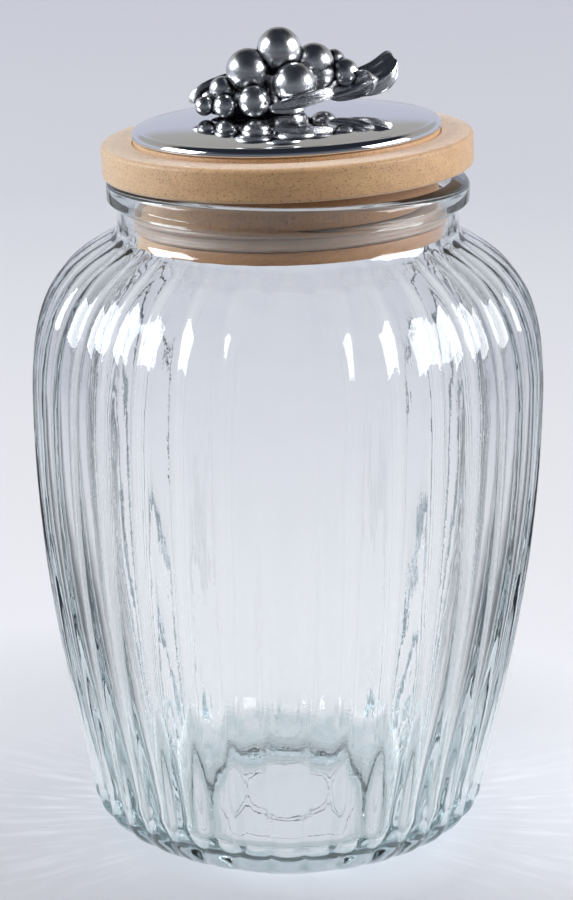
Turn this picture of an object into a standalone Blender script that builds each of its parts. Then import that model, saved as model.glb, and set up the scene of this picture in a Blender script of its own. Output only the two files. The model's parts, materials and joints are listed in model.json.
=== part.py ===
"""Glass canister with a turned wooden lid and a cast grape-cluster knob, at its real size.

Metres, +Z up. The origin is the centre of the jar's bearing ring, and the front faces -Y.
The lid sits a little askew in the neck: its left edge is down on the rim and its right edge is up.
"""

import math

import bmesh
import bpy
from mathutils import Vector

MM = 0.001
GAP = 0.3 * MM

# Jar: bearing ring, floor and heel
RING_RADIUS = 49.5 * MM
RING_WIDTH = 5.0 * MM
PUSH_UP = 3.0 * MM
FLOOR_THICKNESS = 5.5 * MM
FLOOR_CORNER = 19.6 * MM
HEEL_SPREAD = 21.0 * MM
HEEL_HEIGHT = 15.5 * MM

# Jar: belly, shoulder, neck and rim, each rise counted from the one below
BELLY_SPREAD = 18.5 * MM
BELLY_RISE = 147.5 * MM
SHOULDER_RISE = 56.0 * MM
NECK_RADIUS = 58.3 * MM
NECK_LENGTH = 7.5 * MM
RIM_OVERHANG = 3.6 * MM
RIM_DEPTH = 11.1 * MM
RIM_ROUND = 2.4 * MM
WALL = 3.6 * MM

# Jar: convex panels pressed into the outside
PANEL_COUNT = 36
PANEL_DEPTH = 1.3 * MM
PANEL_FADE = 14.0 * MM

# Lid: wooden plate with a low seat for the metal disc
LID_TILT = math.radians(2.4)
PLATE_OVERHANG = 1.2 * MM
PLATE_THICKNESS = 11.2 * MM
PLATE_ROUND = 1.5 * MM
SEAT_HEIGHT = 1.7 * MM
SEAT_SETBACK = 0.6 * MM

# Lid: wooden plug in the neck, with a groove for the gasket above its flange
PLUG_TOP_HEIGHT = 10.9 * MM
PLUG_CLEARANCE = 3.7 * MM
PLUG_ROUND = 0.8 * MM
GROOVE_HEIGHT = 7.0 * MM
GROOVE_DEPTH = 3.5 * MM
FLANGE_HEIGHT = 5.0 * MM
FLANGE_CLEARANCE = 2.3 * MM
GASKET_CLEARANCE = 1.3 * MM
GASKET_LIP = 1.0 * MM

# Lid: polished disc under the knob
PLATE_BORDER = 10.5 * MM
DISC_THICKNESS = 3.3 * MM
DISC_DOME = 2.4 * MM
DISC_ROUND_SHARE = 0.4

# Fastener from below, through plug, plate and disc into the knob
SCREW_RADIUS = 2.5 * MM
SCREW_GRIP = 8.0 * MM
HEAD_OVERHANG = 2.2 * MM
HEAD_HEIGHT = 3.4 * MM
SOCKET_RADIUS = 1.7 * MM
SOCKET_DEPTH = 2.0 * MM
HOLE_CLEARANCE = 0.4 * MM
WASHER_OVERHANG = 1.3 * MM
WASHER_THICKNESS = 1.0 * MM
COUNTERBORE_CLEARANCE = 1.2 * MM
COUNTERBORE_DEPTH = 10.0 * MM

# Knob: foot around the screw, and the cast cluster on it, laid out in shares of its length
FOOT_WALL = 4.2 * MM
FOOT_ROOF = 2.5 * MM
CLUSTER_LENGTH = 70.6 * MM
CLUSTER_UNITS = 70.6
LEAF_THICKNESS = 2.0 * MM
LEAF_EDGE_SHARE = 0.55

# Hidden cores that join the cluster, in units from the foot's centre on the disc (x to the right,
# y to the back, z up), each with its three radii
CORES = {
    "middle_core": ((0.5, 2.0, 9.5), (17.0, 7.5, 6.5)),
    "left_core": ((-18.5, 3.0, 5.5), (10.0, 4.0, 3.8)),
}

# Grapes in the same units, each with its radius
GRAPES = {
    "top": (-1.3, 0.0, 21.4, 7.5),
    "left_front": (-12.0, -1.0, 14.8, 7.3),
    "right_front": (3.2, -6.0, 10.1, 7.3),
    "right_back": (10.2, 5.0, 15.2, 6.8),
    "right_end": (20.2, 3.0, 11.6, 4.7),
    "right_high": (17.0, 9.0, 15.2, 3.8),
    "low_front": (-10.3, -8.0, 5.8, 5.2),
    "left_middle": (-21.1, 0.0, 8.8, 4.3),
    "left_low": (-20.6, -3.0, 4.1, 3.8),
    "left_end": (-27.2, 0.0, 3.6, 3.3),
    "back_left": (-8.5, 10.0, 9.5, 6.6),
    "back_right": (3.5, 12.0, 8.5, 6.2),
    "back_end": (-18.0, 8.5, 6.0, 4.8),
    "back_low": (13.0, 11.5, 6.5, 4.9),
}

# Leaves in the same units: root, middle and tip of the spine, the direction across it,
# half the width at those three places, and how far the edges rise
LEAVES = {
    "front_leaf": (
        ((-5.0, -12.0, 3.8), (5.5, -12.4, 5.6), (16.2, -6.5, 7.5)), (-0.1, -0.4, 0.9), (0.9, 3.6, 2.2), 0.7
    ),
    "right_lobe": (
        ((10.5, 1.0, 7.5), (22.0, -2.8, 6.6), (30.2, -1.0, 9.2)), (-0.15, -0.35, 0.92), (2.2, 4.3, 2.8), 1.4
    ),
    "right_tail": (
        ((12.0, 4.0, 8.5), (29.0, 3.2, 9.0), (37.9, 3.0, 14.6)), (-0.2, -0.15, 0.97), (3.5, 6.4, 5.8), 0.8
    ),
    "left_leaf": (
        ((-8.0, 6.5, 9.5), (-22.0, 4.5, 7.8), (-31.2, 2.0, 4.2)), (0.35, -0.3, 0.88), (3.0, 5.6, 2.8), 0.9
    ),
}

# Columns and rows of the meshes
LID_COLUMNS = 48
SCREW_COLUMNS = 16
GRAPE_COLUMNS = 14
GRAPE_ROWS = 8
LEAF_STEPS = 8
LEAF_HALF_COLUMNS = 2

# Sizes that follow from the ones above
HEEL_RADIUS = RING_RADIUS + HEEL_SPREAD
BELLY_RADIUS = HEEL_RADIUS + BELLY_SPREAD
BELLY_HEIGHT = HEEL_HEIGHT + BELLY_RISE
NECK_FOOT = BELLY_HEIGHT + SHOULDER_RISE
RIM_FOOT = NECK_FOOT + NECK_LENGTH
RIM_RADIUS = NECK_RADIUS + RIM_OVERHANG
JAR_HEIGHT = RIM_FOOT + RIM_DEPTH
BORE_RADIUS = NECK_RADIUS - WALL
FLOOR_HEIGHT = PUSH_UP + FLOOR_THICKNESS
REST_RADIUS = RIM_RADIUS - RIM_ROUND
LID_HEIGHT = JAR_HEIGHT + GAP + REST_RADIUS * math.tan(LID_TILT)
PLATE_RADIUS = RIM_RADIUS + PLATE_OVERHANG
DISC_RADIUS = PLATE_RADIUS - PLATE_BORDER
PLUG_LENGTH = PLUG_TOP_HEIGHT + GROOVE_HEIGHT + FLANGE_HEIGHT
HOLE_RADIUS = SCREW_RADIUS + HOLE_CLEARANCE
HEAD_RADIUS = SCREW_RADIUS + HEAD_OVERHANG
WASHER_RADIUS = HEAD_RADIUS + WASHER_OVERHANG
COUNTERBORE_RADIUS = WASHER_RADIUS + COUNTERBORE_CLEARANCE
SCREW_SEAT = COUNTERBORE_DEPTH - PLUG_LENGTH
HEAD_TOP = SCREW_SEAT - 2 * GAP - WASHER_THICKNESS
DISC_UNDERSIDE = PLATE_THICKNESS + SEAT_HEIGHT + GAP
FOOT_UNDERSIDE = DISC_UNDERSIDE + DISC_THICKNESS + DISC_DOME + GAP
TAPPED_RADIUS = SCREW_RADIUS + GAP
TAPPED_DEPTH = SCREW_GRIP + SCREW_RADIUS
FOOT_RADIUS = TAPPED_RADIUS + FOOT_WALL
FOOT_HEIGHT = TAPPED_DEPTH + FOOT_ROOF
CLUSTER_UNIT = CLUSTER_LENGTH / CLUSTER_UNITS

MATERIALS = {
    "glass": {"Base Color": (0.93, 0.97, 0.96, 1.0), "Roughness": 0.02, "Transmission Weight": 1.0},
    "wood": {"Base Color": (0.66, 0.45, 0.27, 1.0), "Roughness": 0.55},
    "silicone": {"Base Color": (0.80, 0.79, 0.76, 1.0), "Roughness": 0.4},
    "polished_metal": {"Base Color": (0.80, 0.80, 0.80, 1.0), "Roughness": 0.08, "Metallic": 1.0},
    "antiqued_metal": {"Base Color": (0.45, 0.45, 0.46, 1.0), "Roughness": 0.2, "Metallic": 1.0},
    "steel": {"Base Color": (0.55, 0.55, 0.56, 1.0), "Roughness": 0.3, "Metallic": 1.0},
}


def clear_scene():
    for old in list(bpy.data.objects):
        bpy.data.objects.remove(old)


def material(name):
    found = bpy.data.materials.get(name) or bpy.data.materials.new(name)
    found.use_nodes = True
    shader = found.node_tree.nodes["Principled BSDF"]
    for socket, value in MATERIALS[name].items():
        shader.inputs[socket].default_value = value
    return found


def new_object(name, mesh, material_name, parent=None):
    """The mesh as a smooth-shaded object whose creases stay sharp."""
    mesh.name = name
    mesh.materials.append(material(material_name))
    mesh.shade_smooth()
    mesh.set_sharp_from_angle(angle=math.radians(35))
    obj = bpy.data.objects.new(name, mesh)
    obj.parent = parent
    bpy.context.scene.collection.objects.link(obj)
    return obj


def finished_mesh(bm):
    bmesh.ops.recalc_face_normals(bm, faces=bm.faces)
    mesh = bpy.data.meshes.new("shape")
    bm.to_mesh(mesh)
    bm.free()
    return mesh


def bezier(start, first_handle, second_handle, end, steps):
    """Points along a cubic curve in the plane, without its start."""
    corners = [Vector(corner) for corner in (start, first_handle, second_handle, end)]
    points = []
    for step in range(1, steps + 1):
        t = step / steps
        shares = ((1 - t) ** 3, 3 * t * (1 - t) ** 2, 3 * t * t * (1 - t), t**3)
        point = Vector((0.0, 0.0))
        for share, corner in zip(shares, corners):
            point += share * corner
        points.append(tuple(point))
    return points


def quarter_round(start, corner, end, steps):
    """Points along a quarter ellipse that rounds the corner between start and end, both included."""
    start, corner, end = Vector(start), Vector(corner), Vector(end)
    points = []
    for step in range(steps + 1):
        turn = math.pi / 2 * step / steps
        point = corner + (start - corner) * (1 - math.sin(turn)) + (end - corner) * (1 - math.cos(turn))
        points.append(tuple(point))
    return points


def bridge(bm, first, second):
    """Faces between two rings, where one may have twice as many points as the other."""
    if len(first) > len(second):
        first, second = second, first
    count = len(first)
    for i in range(count):
        j = (i + 1) % count
        if len(second) == count:
            bm.faces.new((first[i], first[j], second[j], second[i]))
            continue
        middle = second[2 * i + 1]
        bm.faces.new((first[i], middle, second[2 * i]))
        bm.faces.new((first[i], first[j], middle))
        bm.faces.new((first[j], second[(2 * i + 2) % len(second)], middle))


def turned_mesh(rows, closed):
    """A surface through rows of (radius at an angle, height, columns). A row with no radius is a point."""
    bm = bmesh.new()
    rings = []
    for radius_at, height, columns in rows:
        if radius_at is None:
            rings.append([bm.verts.new((0.0, 0.0, height))])
            continue
        angles = [2 * math.pi * column / columns for column in range(columns)]
        rings.append(
            [bm.verts.new((radius_at(a) * math.cos(a), radius_at(a) * math.sin(a), height)) for a in angles]
        )
    pairs = list(zip(rings, rings[1:]))
    if closed:
        pairs.append((rings[-1], rings[0]))
    for first, second in pairs:
        if len(first) > 1 and len(second) > 1:
            bridge(bm, first, second)
            continue
        point, ring = (first[0], second) if len(first) == 1 else (second[0], first)
        for i, vertex in enumerate(ring):
            bm.faces.new((point, vertex, ring[(i + 1) % len(ring)]))
    return finished_mesh(bm)


def plain_rows(profile, columns):
    """Rows for turned_mesh that are round, from (radius, height) points."""
    return [(lambda angle, radius=radius: radius, height, columns) for radius, height in profile]


def turned_ring(profile, columns):
    """A closed ring turned from a closed profile that stays off the axis."""
    return turned_mesh(plain_rows(profile, columns), closed=True)


def turned_solid(profile, columns):
    """A solid turned from an open profile, closed by a point on the axis at each end."""
    low, high = profile[0][1], profile[-1][1]
    rows = [(None, low, 1)] + plain_rows(profile, columns) + [(None, high, 1)]
    return turned_mesh(rows, closed=False)


def panel_share(height):
    """How deep the panels are at a height: nothing at the ring and the neck, all of it between."""
    up = min(1.0, max(0.0, height / HEEL_HEIGHT))
    down = min(1.0, max(0.0, (NECK_FOOT - height) / PANEL_FADE))
    share = min(up, down)
    return share * share * (3 - 2 * share)


def paneled_radius(radius, height):
    """The outer radius at an angle: a convex panel rises between each pair of sharp valleys."""
    depth = PANEL_DEPTH * panel_share(height)

    def at(angle):
        return radius - depth * (1 - abs(math.cos(PANEL_COUNT * angle / 2)))

    return at


def side_curve(heel_radius, heel_height, belly_radius, top_radius, top_height):
    """The wall's curve from the heel up to the belly, and over the shoulder to the neck."""
    rise = BELLY_HEIGHT - heel_height
    gain = belly_radius - heel_radius
    wall = bezier(
        (heel_radius, heel_height),
        (heel_radius + 0.38 * gain, heel_height + 0.27 * rise),
        (belly_radius, heel_height + 0.55 * rise),
        (belly_radius, BELLY_HEIGHT),
        5,
    )
    rise = top_height - BELLY_HEIGHT
    drop = belly_radius - top_radius
    shoulder = bezier(
        (belly_radius, BELLY_HEIGHT),
        (belly_radius, BELLY_HEIGHT + 0.77 * rise),
        (belly_radius - 0.55 * drop, BELLY_HEIGHT + 0.856 * rise),
        (top_radius, top_height),
        7,
    )
    return wall + shoulder


def jar_mesh():
    plain = 2 * PANEL_COUNT
    ring_inside = RING_RADIUS - RING_WIDTH

    underside = [(0.6 * ring_inside, 0.85 * PUSH_UP), (0.95 * ring_inside, 0.35 * PUSH_UP)]
    underside.append((ring_inside, 0.0))
    heel = bezier(
        (RING_RADIUS, 0.0),
        (RING_RADIUS + 0.45 * HEEL_SPREAD, 0.23 * HEEL_HEIGHT),
        (RING_RADIUS + 0.94 * HEEL_SPREAD, 0.55 * HEEL_HEIGHT),
        (HEEL_RADIUS, HEEL_HEIGHT),
        4,
    )
    side = side_curve(HEEL_RADIUS, HEEL_HEIGHT, BELLY_RADIUS, NECK_RADIUS, NECK_FOOT)
    outside = [(RING_RADIUS, 0.0)] + heel + side
    rim_flare = bezier(
        (NECK_RADIUS, RIM_FOOT),
        (RIM_RADIUS, RIM_FOOT + 0.28 * RIM_DEPTH),
        (RIM_RADIUS, RIM_FOOT + 0.4 * RIM_DEPTH),
        (RIM_RADIUS, JAR_HEIGHT - RIM_ROUND),
        3,
    )
    lip_round = 0.5 * RIM_ROUND
    crown_foot = (RIM_RADIUS, JAR_HEIGHT - RIM_ROUND)
    crown = quarter_round(crown_foot, (RIM_RADIUS, JAR_HEIGHT), (REST_RADIUS, JAR_HEIGHT), 2)[1:]
    lip_end = (BORE_RADIUS, JAR_HEIGHT - lip_round)
    lip = quarter_round((BORE_RADIUS + lip_round, JAR_HEIGHT), (BORE_RADIUS, JAR_HEIGHT), lip_end, 2)

    inner_panel = WALL + PANEL_DEPTH
    inner_heel_height = FLOOR_HEIGHT + HEEL_HEIGHT
    inner_heel_radius = HEEL_RADIUS - inner_panel
    floor_radius = inner_heel_radius - FLOOR_CORNER
    inner_heel = bezier(
        (floor_radius, FLOOR_HEIGHT),
        (floor_radius + 0.6 * FLOOR_CORNER, FLOOR_HEIGHT),
        (inner_heel_radius, FLOOR_HEIGHT + 0.35 * HEEL_HEIGHT),
        (inner_heel_radius, inner_heel_height),
        3,
    )
    inner_side = side_curve(
        inner_heel_radius, inner_heel_height, BELLY_RADIUS - inner_panel, BORE_RADIUS, NECK_FOOT - 0.4 * WALL
    )
    inside = [(floor_radius, FLOOR_HEIGHT)] + inner_heel + inner_side

    rows = [(None, PUSH_UP, 1)] + plain_rows(underside, plain)
    for radius, height in outside:
        columns = 2 * plain if panel_share(height) > 0.0 else plain
        rows.append((paneled_radius(radius, height), height, columns))
    rows += plain_rows([(NECK_RADIUS, RIM_FOOT)] + rim_flare + crown + lip + [inside.pop()], plain)
    rows += plain_rows(reversed(inside), PANEL_COUNT)
    rows.append((None, FLOOR_HEIGHT, 1))
    return turned_mesh(rows, closed=False)


def plate_mesh():
    """The plate: rounded edges, a raised seat under the disc and the screw's hole."""
    seat_radius = DISC_RADIUS - SEAT_SETBACK
    seat_top = PLATE_THICKNESS + SEAT_HEIGHT
    flat = PLATE_RADIUS - PLATE_ROUND
    top = PLATE_THICKNESS
    lower = quarter_round((flat, 0.0), (PLATE_RADIUS, 0.0), (PLATE_RADIUS, PLATE_ROUND), 2)
    upper = quarter_round((PLATE_RADIUS, top - PLATE_ROUND), (PLATE_RADIUS, top), (flat, top), 2)
    seat = [(seat_radius, top), (seat_radius, seat_top), (HOLE_RADIUS, seat_top)]
    return turned_ring([(HOLE_RADIUS, 0.0)] + lower + upper + seat, LID_COLUMNS)


def plug_mesh():
    """The plug under the plate: upper body, gasket groove, flange, and the counterbore for the screw."""
    body = BORE_RADIUS - PLUG_CLEARANCE
    flange = BORE_RADIUS - FLANGE_CLEARANCE
    groove = body - GROOVE_DEPTH
    flange_top = FLANGE_HEIGHT - PLUG_LENGTH
    groove_top = flange_top + GROOVE_HEIGHT
    profile = [
        (HOLE_RADIUS, -GAP),
        (body, -GAP),
        (body, groove_top),
        (groove, groove_top),
        (groove, flange_top),
        (flange, flange_top),
    ]
    low = -PLUG_LENGTH
    profile += quarter_round((flange, low + PLUG_ROUND), (flange, low), (flange - PLUG_ROUND, low), 2)
    profile += [(COUNTERBORE_RADIUS, low), (COUNTERBORE_RADIUS, SCREW_SEAT), (HOLE_RADIUS, SCREW_SEAT)]
    return turned_ring(profile, LID_COLUMNS)


def gasket_mesh():
    """The silicone ring in the groove, with a lip near each edge that reaches for the neck."""
    inner = BORE_RADIUS - PLUG_CLEARANCE - GROOVE_DEPTH + GAP
    outer = BORE_RADIUS - GASKET_CLEARANCE
    low = FLANGE_HEIGHT - PLUG_LENGTH + GAP
    height = GROOVE_HEIGHT - 2 * GAP
    waist = outer - GASKET_LIP
    profile = [(inner, low), (waist, low), (outer, low + 0.12 * height), (outer, low + 0.22 * height)]
    profile += [(waist, low + 0.36 * height), (waist, low + 0.64 * height)]
    profile += [(outer, low + 0.78 * height), (outer, low + 0.88 * height)]
    profile += [(waist, low + height), (inner, low + height)]
    return turned_ring(profile, LID_COLUMNS)


def disc_mesh():
    """The domed disc: its top is part of a sphere, and its edge is rounded."""
    edge_top = DISC_UNDERSIDE + DISC_THICKNESS
    edge_round = DISC_ROUND_SHARE * DISC_THICKNESS
    dome_radius = DISC_RADIUS - edge_round

    def dome(radius):
        return edge_top + DISC_DOME * (1 - (radius / dome_radius) ** 2)

    low = DISC_UNDERSIDE
    lower = quarter_round((dome_radius, low), (DISC_RADIUS, low), (DISC_RADIUS, low + edge_round), 2)
    edge = (DISC_RADIUS, edge_top - edge_round)
    upper = quarter_round(edge, (DISC_RADIUS, edge_top), (dome_radius, edge_top), 2)
    top = [(share * dome_radius, dome(share * dome_radius)) for share in (0.75, 0.5, 0.25)]
    top.append((HOLE_RADIUS, dome(HOLE_RADIUS)))
    return turned_ring([(HOLE_RADIUS, low)] + lower + upper + top, LID_COLUMNS)


def washer_mesh():
    top = SCREW_SEAT - GAP
    low = top - WASHER_THICKNESS
    profile = [(HOLE_RADIUS, low), (WASHER_RADIUS, low), (WASHER_RADIUS, top), (HOLE_RADIUS, top)]
    return turned_ring(profile, 2 * SCREW_COLUMNS)


def screw_mesh():
    """A pan-head screw, head down, whose shank ends inside the knob."""
    tip = FOOT_UNDERSIDE + SCREW_GRIP
    rounding = 0.35 * HEAD_HEIGHT
    head_low = HEAD_TOP - HEAD_HEIGHT
    head = quarter_round(
        (HEAD_RADIUS - rounding, head_low), (HEAD_RADIUS, head_low), (HEAD_RADIUS, head_low + rounding), 2
    )
    point = 0.3 * SCREW_RADIUS
    shank = [(SCREW_RADIUS, HEAD_TOP), (SCREW_RADIUS, tip - point), (SCREW_RADIUS - point, tip)]
    return turned_solid(head + [(HEAD_RADIUS, HEAD_TOP)] + shank, SCREW_COLUMNS)


def prism(name, radius, low, high, columns):
    """A helper cylinder that a Boolean adds or cuts."""
    return helper(name, turned_solid([(radius, low), (radius, high)], columns))


def helper(name, mesh):
    obj = bpy.data.objects.new(name, mesh)
    obj.hide_render = True
    obj.display_type = "WIRE"
    bpy.context.scene.collection.objects.link(obj)
    return obj


def ball_mesh(radii):
    bm = bmesh.new()
    bmesh.ops.create_uvsphere(bm, u_segments=GRAPE_COLUMNS, v_segments=GRAPE_ROWS, radius=1.0)
    bmesh.ops.scale(bm, vec=radii, verts=bm.verts)
    return finished_mesh(bm)


def leaf_mesh(spine_points, across, half_widths, cup):
    """A thick curved leaf with round ends: the spine runs from root through middle to tip."""
    root, middle, tip = (Vector(point) * CLUSTER_UNIT for point in spine_points)
    across = Vector(across).normalized()
    handle = 2 * middle - (root + tip) / 2
    columns = range(-LEAF_HALF_COLUMNS, LEAF_HALF_COLUMNS + 1)
    bm = bmesh.new()
    upper, lower = [], []
    for step in range(LEAF_STEPS + 1):
        t = (1 - math.cos(math.pi * step / LEAF_STEPS)) / 2
        shares = ((1 - t) ** 2, 2 * t * (1 - t), t * t)
        spine = shares[0] * root + shares[1] * handle + shares[2] * tip
        along = ((1 - t) * (handle - root) + t * (tip - handle)).normalized()
        out = along.cross(across).normalized()
        half = sum(share * width for share, width in zip(shares, half_widths)) * CLUSTER_UNIT
        half *= math.sqrt(1 - 0.9 * (2 * t - 1) ** 8)
        upper.append([])
        lower.append([])
        for column in columns:
            share = column / LEAF_HALF_COLUMNS
            point = spine + across * (half * share) + out * (cup * CLUSTER_UNIT * share * share)
            depth = out * (LEAF_THICKNESS / 2 * (1 - (1 - LEAF_EDGE_SHARE) * share * share))
            upper[-1].append(bm.verts.new(point + depth))
            lower[-1].append(bm.verts.new(point - depth))
    last = len(columns) - 1
    for step in range(LEAF_STEPS):
        for side in (upper, lower):
            for i in range(last):
                bm.faces.new((side[step][i], side[step][i + 1], side[step + 1][i + 1], side[step + 1][i]))
        for i in (0, last):
            bm.faces.new((upper[step][i], upper[step + 1][i], lower[step + 1][i], lower[step][i]))
    for step in (0, LEAF_STEPS):
        for i in range(last):
            bm.faces.new((upper[step][i], upper[step][i + 1], lower[step][i + 1], lower[step][i]))
    return finished_mesh(bm)


def boolean(obj, operation, other):
    modifier = obj.modifiers.new(other.name, "BOOLEAN")
    modifier.operation = operation
    modifier.object = other
    modifier.solver = "EXACT"


def knob_object(lid):
    """The casting: foot, core, grapes and leaves as one body, tapped from below for the screw."""
    foot = turned_solid([(FOOT_RADIUS, 0.0), (FOOT_RADIUS, FOOT_HEIGHT)], SCREW_COLUMNS)
    knob = new_object("grape_knob", foot, "antiqued_metal", lid)
    knob.location = (0.0, 0.0, FOOT_UNDERSIDE)

    balls = dict(CORES)
    for name, (x, y, z, radius) in GRAPES.items():
        balls["grape_" + name] = ((x, y, z), (radius, radius, radius))
    pieces = []
    for name, (centre, radii) in balls.items():
        ball = helper(name, ball_mesh(Vector(radii) * CLUSTER_UNIT))
        ball.location = Vector(centre) * CLUSTER_UNIT
        pieces.append(ball)
    for name, sizes in LEAVES.items():
        pieces.append(helper(name, leaf_mesh(*sizes)))
    for piece in pieces:
        piece.parent = knob
        boolean(knob, "UNION", piece)

    tapping = prism("tapped_hole", TAPPED_RADIUS, -TAPPED_DEPTH, TAPPED_DEPTH, SCREW_COLUMNS)
    tapping.parent = knob
    boolean(knob, "DIFFERENCE", tapping)


def lid_objects():
    """Every piece of the lid, hung from an empty on the axis that the lid turns about."""
    lid = bpy.data.objects.new("lid_axis", None)
    lid.location = (0.0, 0.0, LID_HEIGHT)
    lid.rotation_euler = (0.0, -LID_TILT, 0.0)
    bpy.context.scene.collection.objects.link(lid)

    new_object("lid_plate", plate_mesh(), "wood", lid)
    new_object("lid_plug", plug_mesh(), "wood", lid)
    new_object("plug_gasket", gasket_mesh(), "silicone", lid)
    new_object("lid_disc", disc_mesh(), "polished_metal", lid)
    new_object("screw_washer", washer_mesh(), "steel", lid)
    screw = new_object("knob_screw", screw_mesh(), "steel", lid)
    head_low = HEAD_TOP - HEAD_HEIGHT
    socket = prism("hex_socket", SOCKET_RADIUS, head_low - SOCKET_DEPTH, head_low + SOCKET_DEPTH, 6)
    socket.parent = lid
    boolean(screw, "DIFFERENCE", socket)
    knob_object(lid)


def main():
    clear_scene()
    new_object("glass_jar", jar_mesh(), "glass")
    lid_objects()


if __name__ == "__main__":
    main()
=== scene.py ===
"""Looks for the glass canister: pressed glass, wood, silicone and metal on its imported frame."""

import json
import math

import bmesh
import bpy
import numpy as np
from mathutils import Matrix, Vector


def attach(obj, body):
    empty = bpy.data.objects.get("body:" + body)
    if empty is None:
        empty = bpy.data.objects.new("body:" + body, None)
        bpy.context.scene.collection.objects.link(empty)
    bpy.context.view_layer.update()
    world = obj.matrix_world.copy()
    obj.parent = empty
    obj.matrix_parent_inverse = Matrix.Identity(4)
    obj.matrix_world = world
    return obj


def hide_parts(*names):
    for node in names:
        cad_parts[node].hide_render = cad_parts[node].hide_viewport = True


bl_info = {
    "name": "Glass canister looks",
    "version": (1, 0, 0),
    "blender": (4, 5, 0),
    "location": "3D View > Sidebar > Canister",
    "description": "Dresses the canister's frame with pressed glass, turned wood, silicone and cast metal",
    "category": "Object",
}

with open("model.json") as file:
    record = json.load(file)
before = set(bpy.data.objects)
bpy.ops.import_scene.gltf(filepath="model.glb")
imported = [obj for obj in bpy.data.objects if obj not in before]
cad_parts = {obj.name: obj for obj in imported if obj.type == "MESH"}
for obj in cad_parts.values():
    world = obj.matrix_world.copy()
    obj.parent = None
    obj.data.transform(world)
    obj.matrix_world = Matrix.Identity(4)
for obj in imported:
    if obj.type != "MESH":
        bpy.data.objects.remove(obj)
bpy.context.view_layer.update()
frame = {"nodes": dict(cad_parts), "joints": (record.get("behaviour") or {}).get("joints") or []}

MM = 0.001

# Heights and radii of the jar, as in the frame; the floor and the foot of the rim lie a little higher here
RING_RADIUS = 49.5 * MM
RING_INSIDE = 44.5 * MM
RING_STEP = 1.7 * MM
PUSH_UP = 3.0 * MM
FLOOR_HEIGHT = 10.0 * MM
FLOOR_RADIUS = 46.0 * MM
HEEL_RADIUS = 70.5 * MM
HEEL_HEIGHT = 15.5 * MM
BELLY_RADIUS = 89.0 * MM
BELLY_HEIGHT = 163.0 * MM
NECK_RADIUS = 58.3 * MM
NECK_FOOT = 219.0 * MM
RIM_FOOT = 228.4 * MM
RIM_RADIUS = 61.9 * MM
RIM_ROUND = 2.4 * MM
JAR_HEIGHT = 237.6 * MM
BORE_RADIUS = 54.7 * MM
BORE_FOOT = NECK_FOOT - 1.44 * MM
INNER_STEP = 4.9 * MM
COLUMNS_PER_PANEL = 14
DIMPLE_DEPTH = 0.03 * MM

# How high the glass is chilled, in millimetres, and how much higher in the valleys between the panels
CHILLED_HEIGHT = 11.5
CHILLED_VALLEY = 4.0
CHILLED_FADE = 4 * MM
CHILLED_RIM = 0.25

# Fine rings that the plunger leaves on the floor: radius in millimetres, and depth as a number of ripples
MOULD_RINGS = ((34.9, 2.5), (23.6, 3.5), (21.0, 3.0))

# The lid, level in its own frame, and the height and tilt that place it in the neck
LID_HEIGHT = next(joint["pos_m"][2] for joint in frame["joints"] if joint["name"] == "lid_turn")
LID_TILT = math.radians(2.4)
PLATE_RADIUS = 63.1 * MM
PLATE_THICKNESS = 11.2 * MM
PLATE_ROUND = 1.5 * MM
SEAT_RADIUS = 52.0 * MM
SEAT_HEIGHT = 1.3 * MM
HOLE_RADIUS = 2.9 * MM
PLUG_ROUND = 0.35 * MM
GASKET_ROUND = 0.30 * MM
DISC_RADIUS = 52.6 * MM
DISC_THICKNESS = 2.9 * MM
DISC_DOME = 3.2 * MM
DISC_UNDERSIDE = 12.8 * MM
DISC_ROLL = 2.6 * MM
PLUG_RADIUS = 51.0 * MM
PLUG_LENGTH = 22.9 * MM
GROOVE_RADIUS = 47.5 * MM
FLANGE_RADIUS = 52.4 * MM
FLANGE_TOP = -17.9 * MM
GROOVE_TOP = -10.9 * MM
COUNTERBORE_RADIUS = 7.2 * MM
SCREW_SEAT = -12.9 * MM
GASKET_RADIUS = 53.4 * MM
FOOT_UNDERSIDE = 19.2 * MM
FOOT_RADIUS = 7.0 * MM
FOOT_HEIGHT = 13.0 * MM
FOOT_BORE = 2.8 * MM
FOOT_BORE_DEPTH = 10.5 * MM
GAP = 0.3 * MM

# Cast cluster, in millimetres from the foot's centre on the disc, with x to the right, y to the back and
# z up: each core's centre and its three radii, and each grape's centre and radius
CORES = {
    "middle_core": ((-2.5, 3.0, 9.0), (13.0, 6.0, 6.0)),
    "left_core": ((-18.5, 3.0, 5.5), (10.0, 4.0, 3.8)),
    # The base core is kept wholly dark: patina at the casting's foot, and painted contact shade where it
    # meets the disc
    "base_core": ((-10.5, 0.0, 0.6), (15.0, 5.0, 1.6)),
}
GRAPES = {
    "top": (-1.3, 0.0, 21.0, 7.5),
    "left_front": (-12.0, -1.0, 14.5, 7.4),
    "right_front": (3.4, -6.0, 9.7, 7.5),
    "right_back": (10.2, 5.0, 15.2, 6.8),
    "right_low": (11.5, 4.0, 11.4, 5.7),
    "right_end": (20.5, 6.0, 11.2, 4.9),
    "right_high": (17.0, 9.0, 15.2, 3.8),
    "low_front": (-10.3, -9.0, 5.15, 5.25),
    "left_middle": (-21.0, 0.0, 8.4, 4.3),
    "left_low": (-20.1, -6.0, 3.55, 3.9),
    "left_end": (-27.2, -2.0, 3.2, 3.3),
    "back_left": (-8.5, 10.0, 9.5, 6.6),
    "back_right": (3.5, 12.0, 8.5, 6.2),
    "back_end": (-18.0, 8.5, 6.0, 4.8),
    "back_low": (13.0, 11.5, 6.5, 4.9),
}
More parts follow.
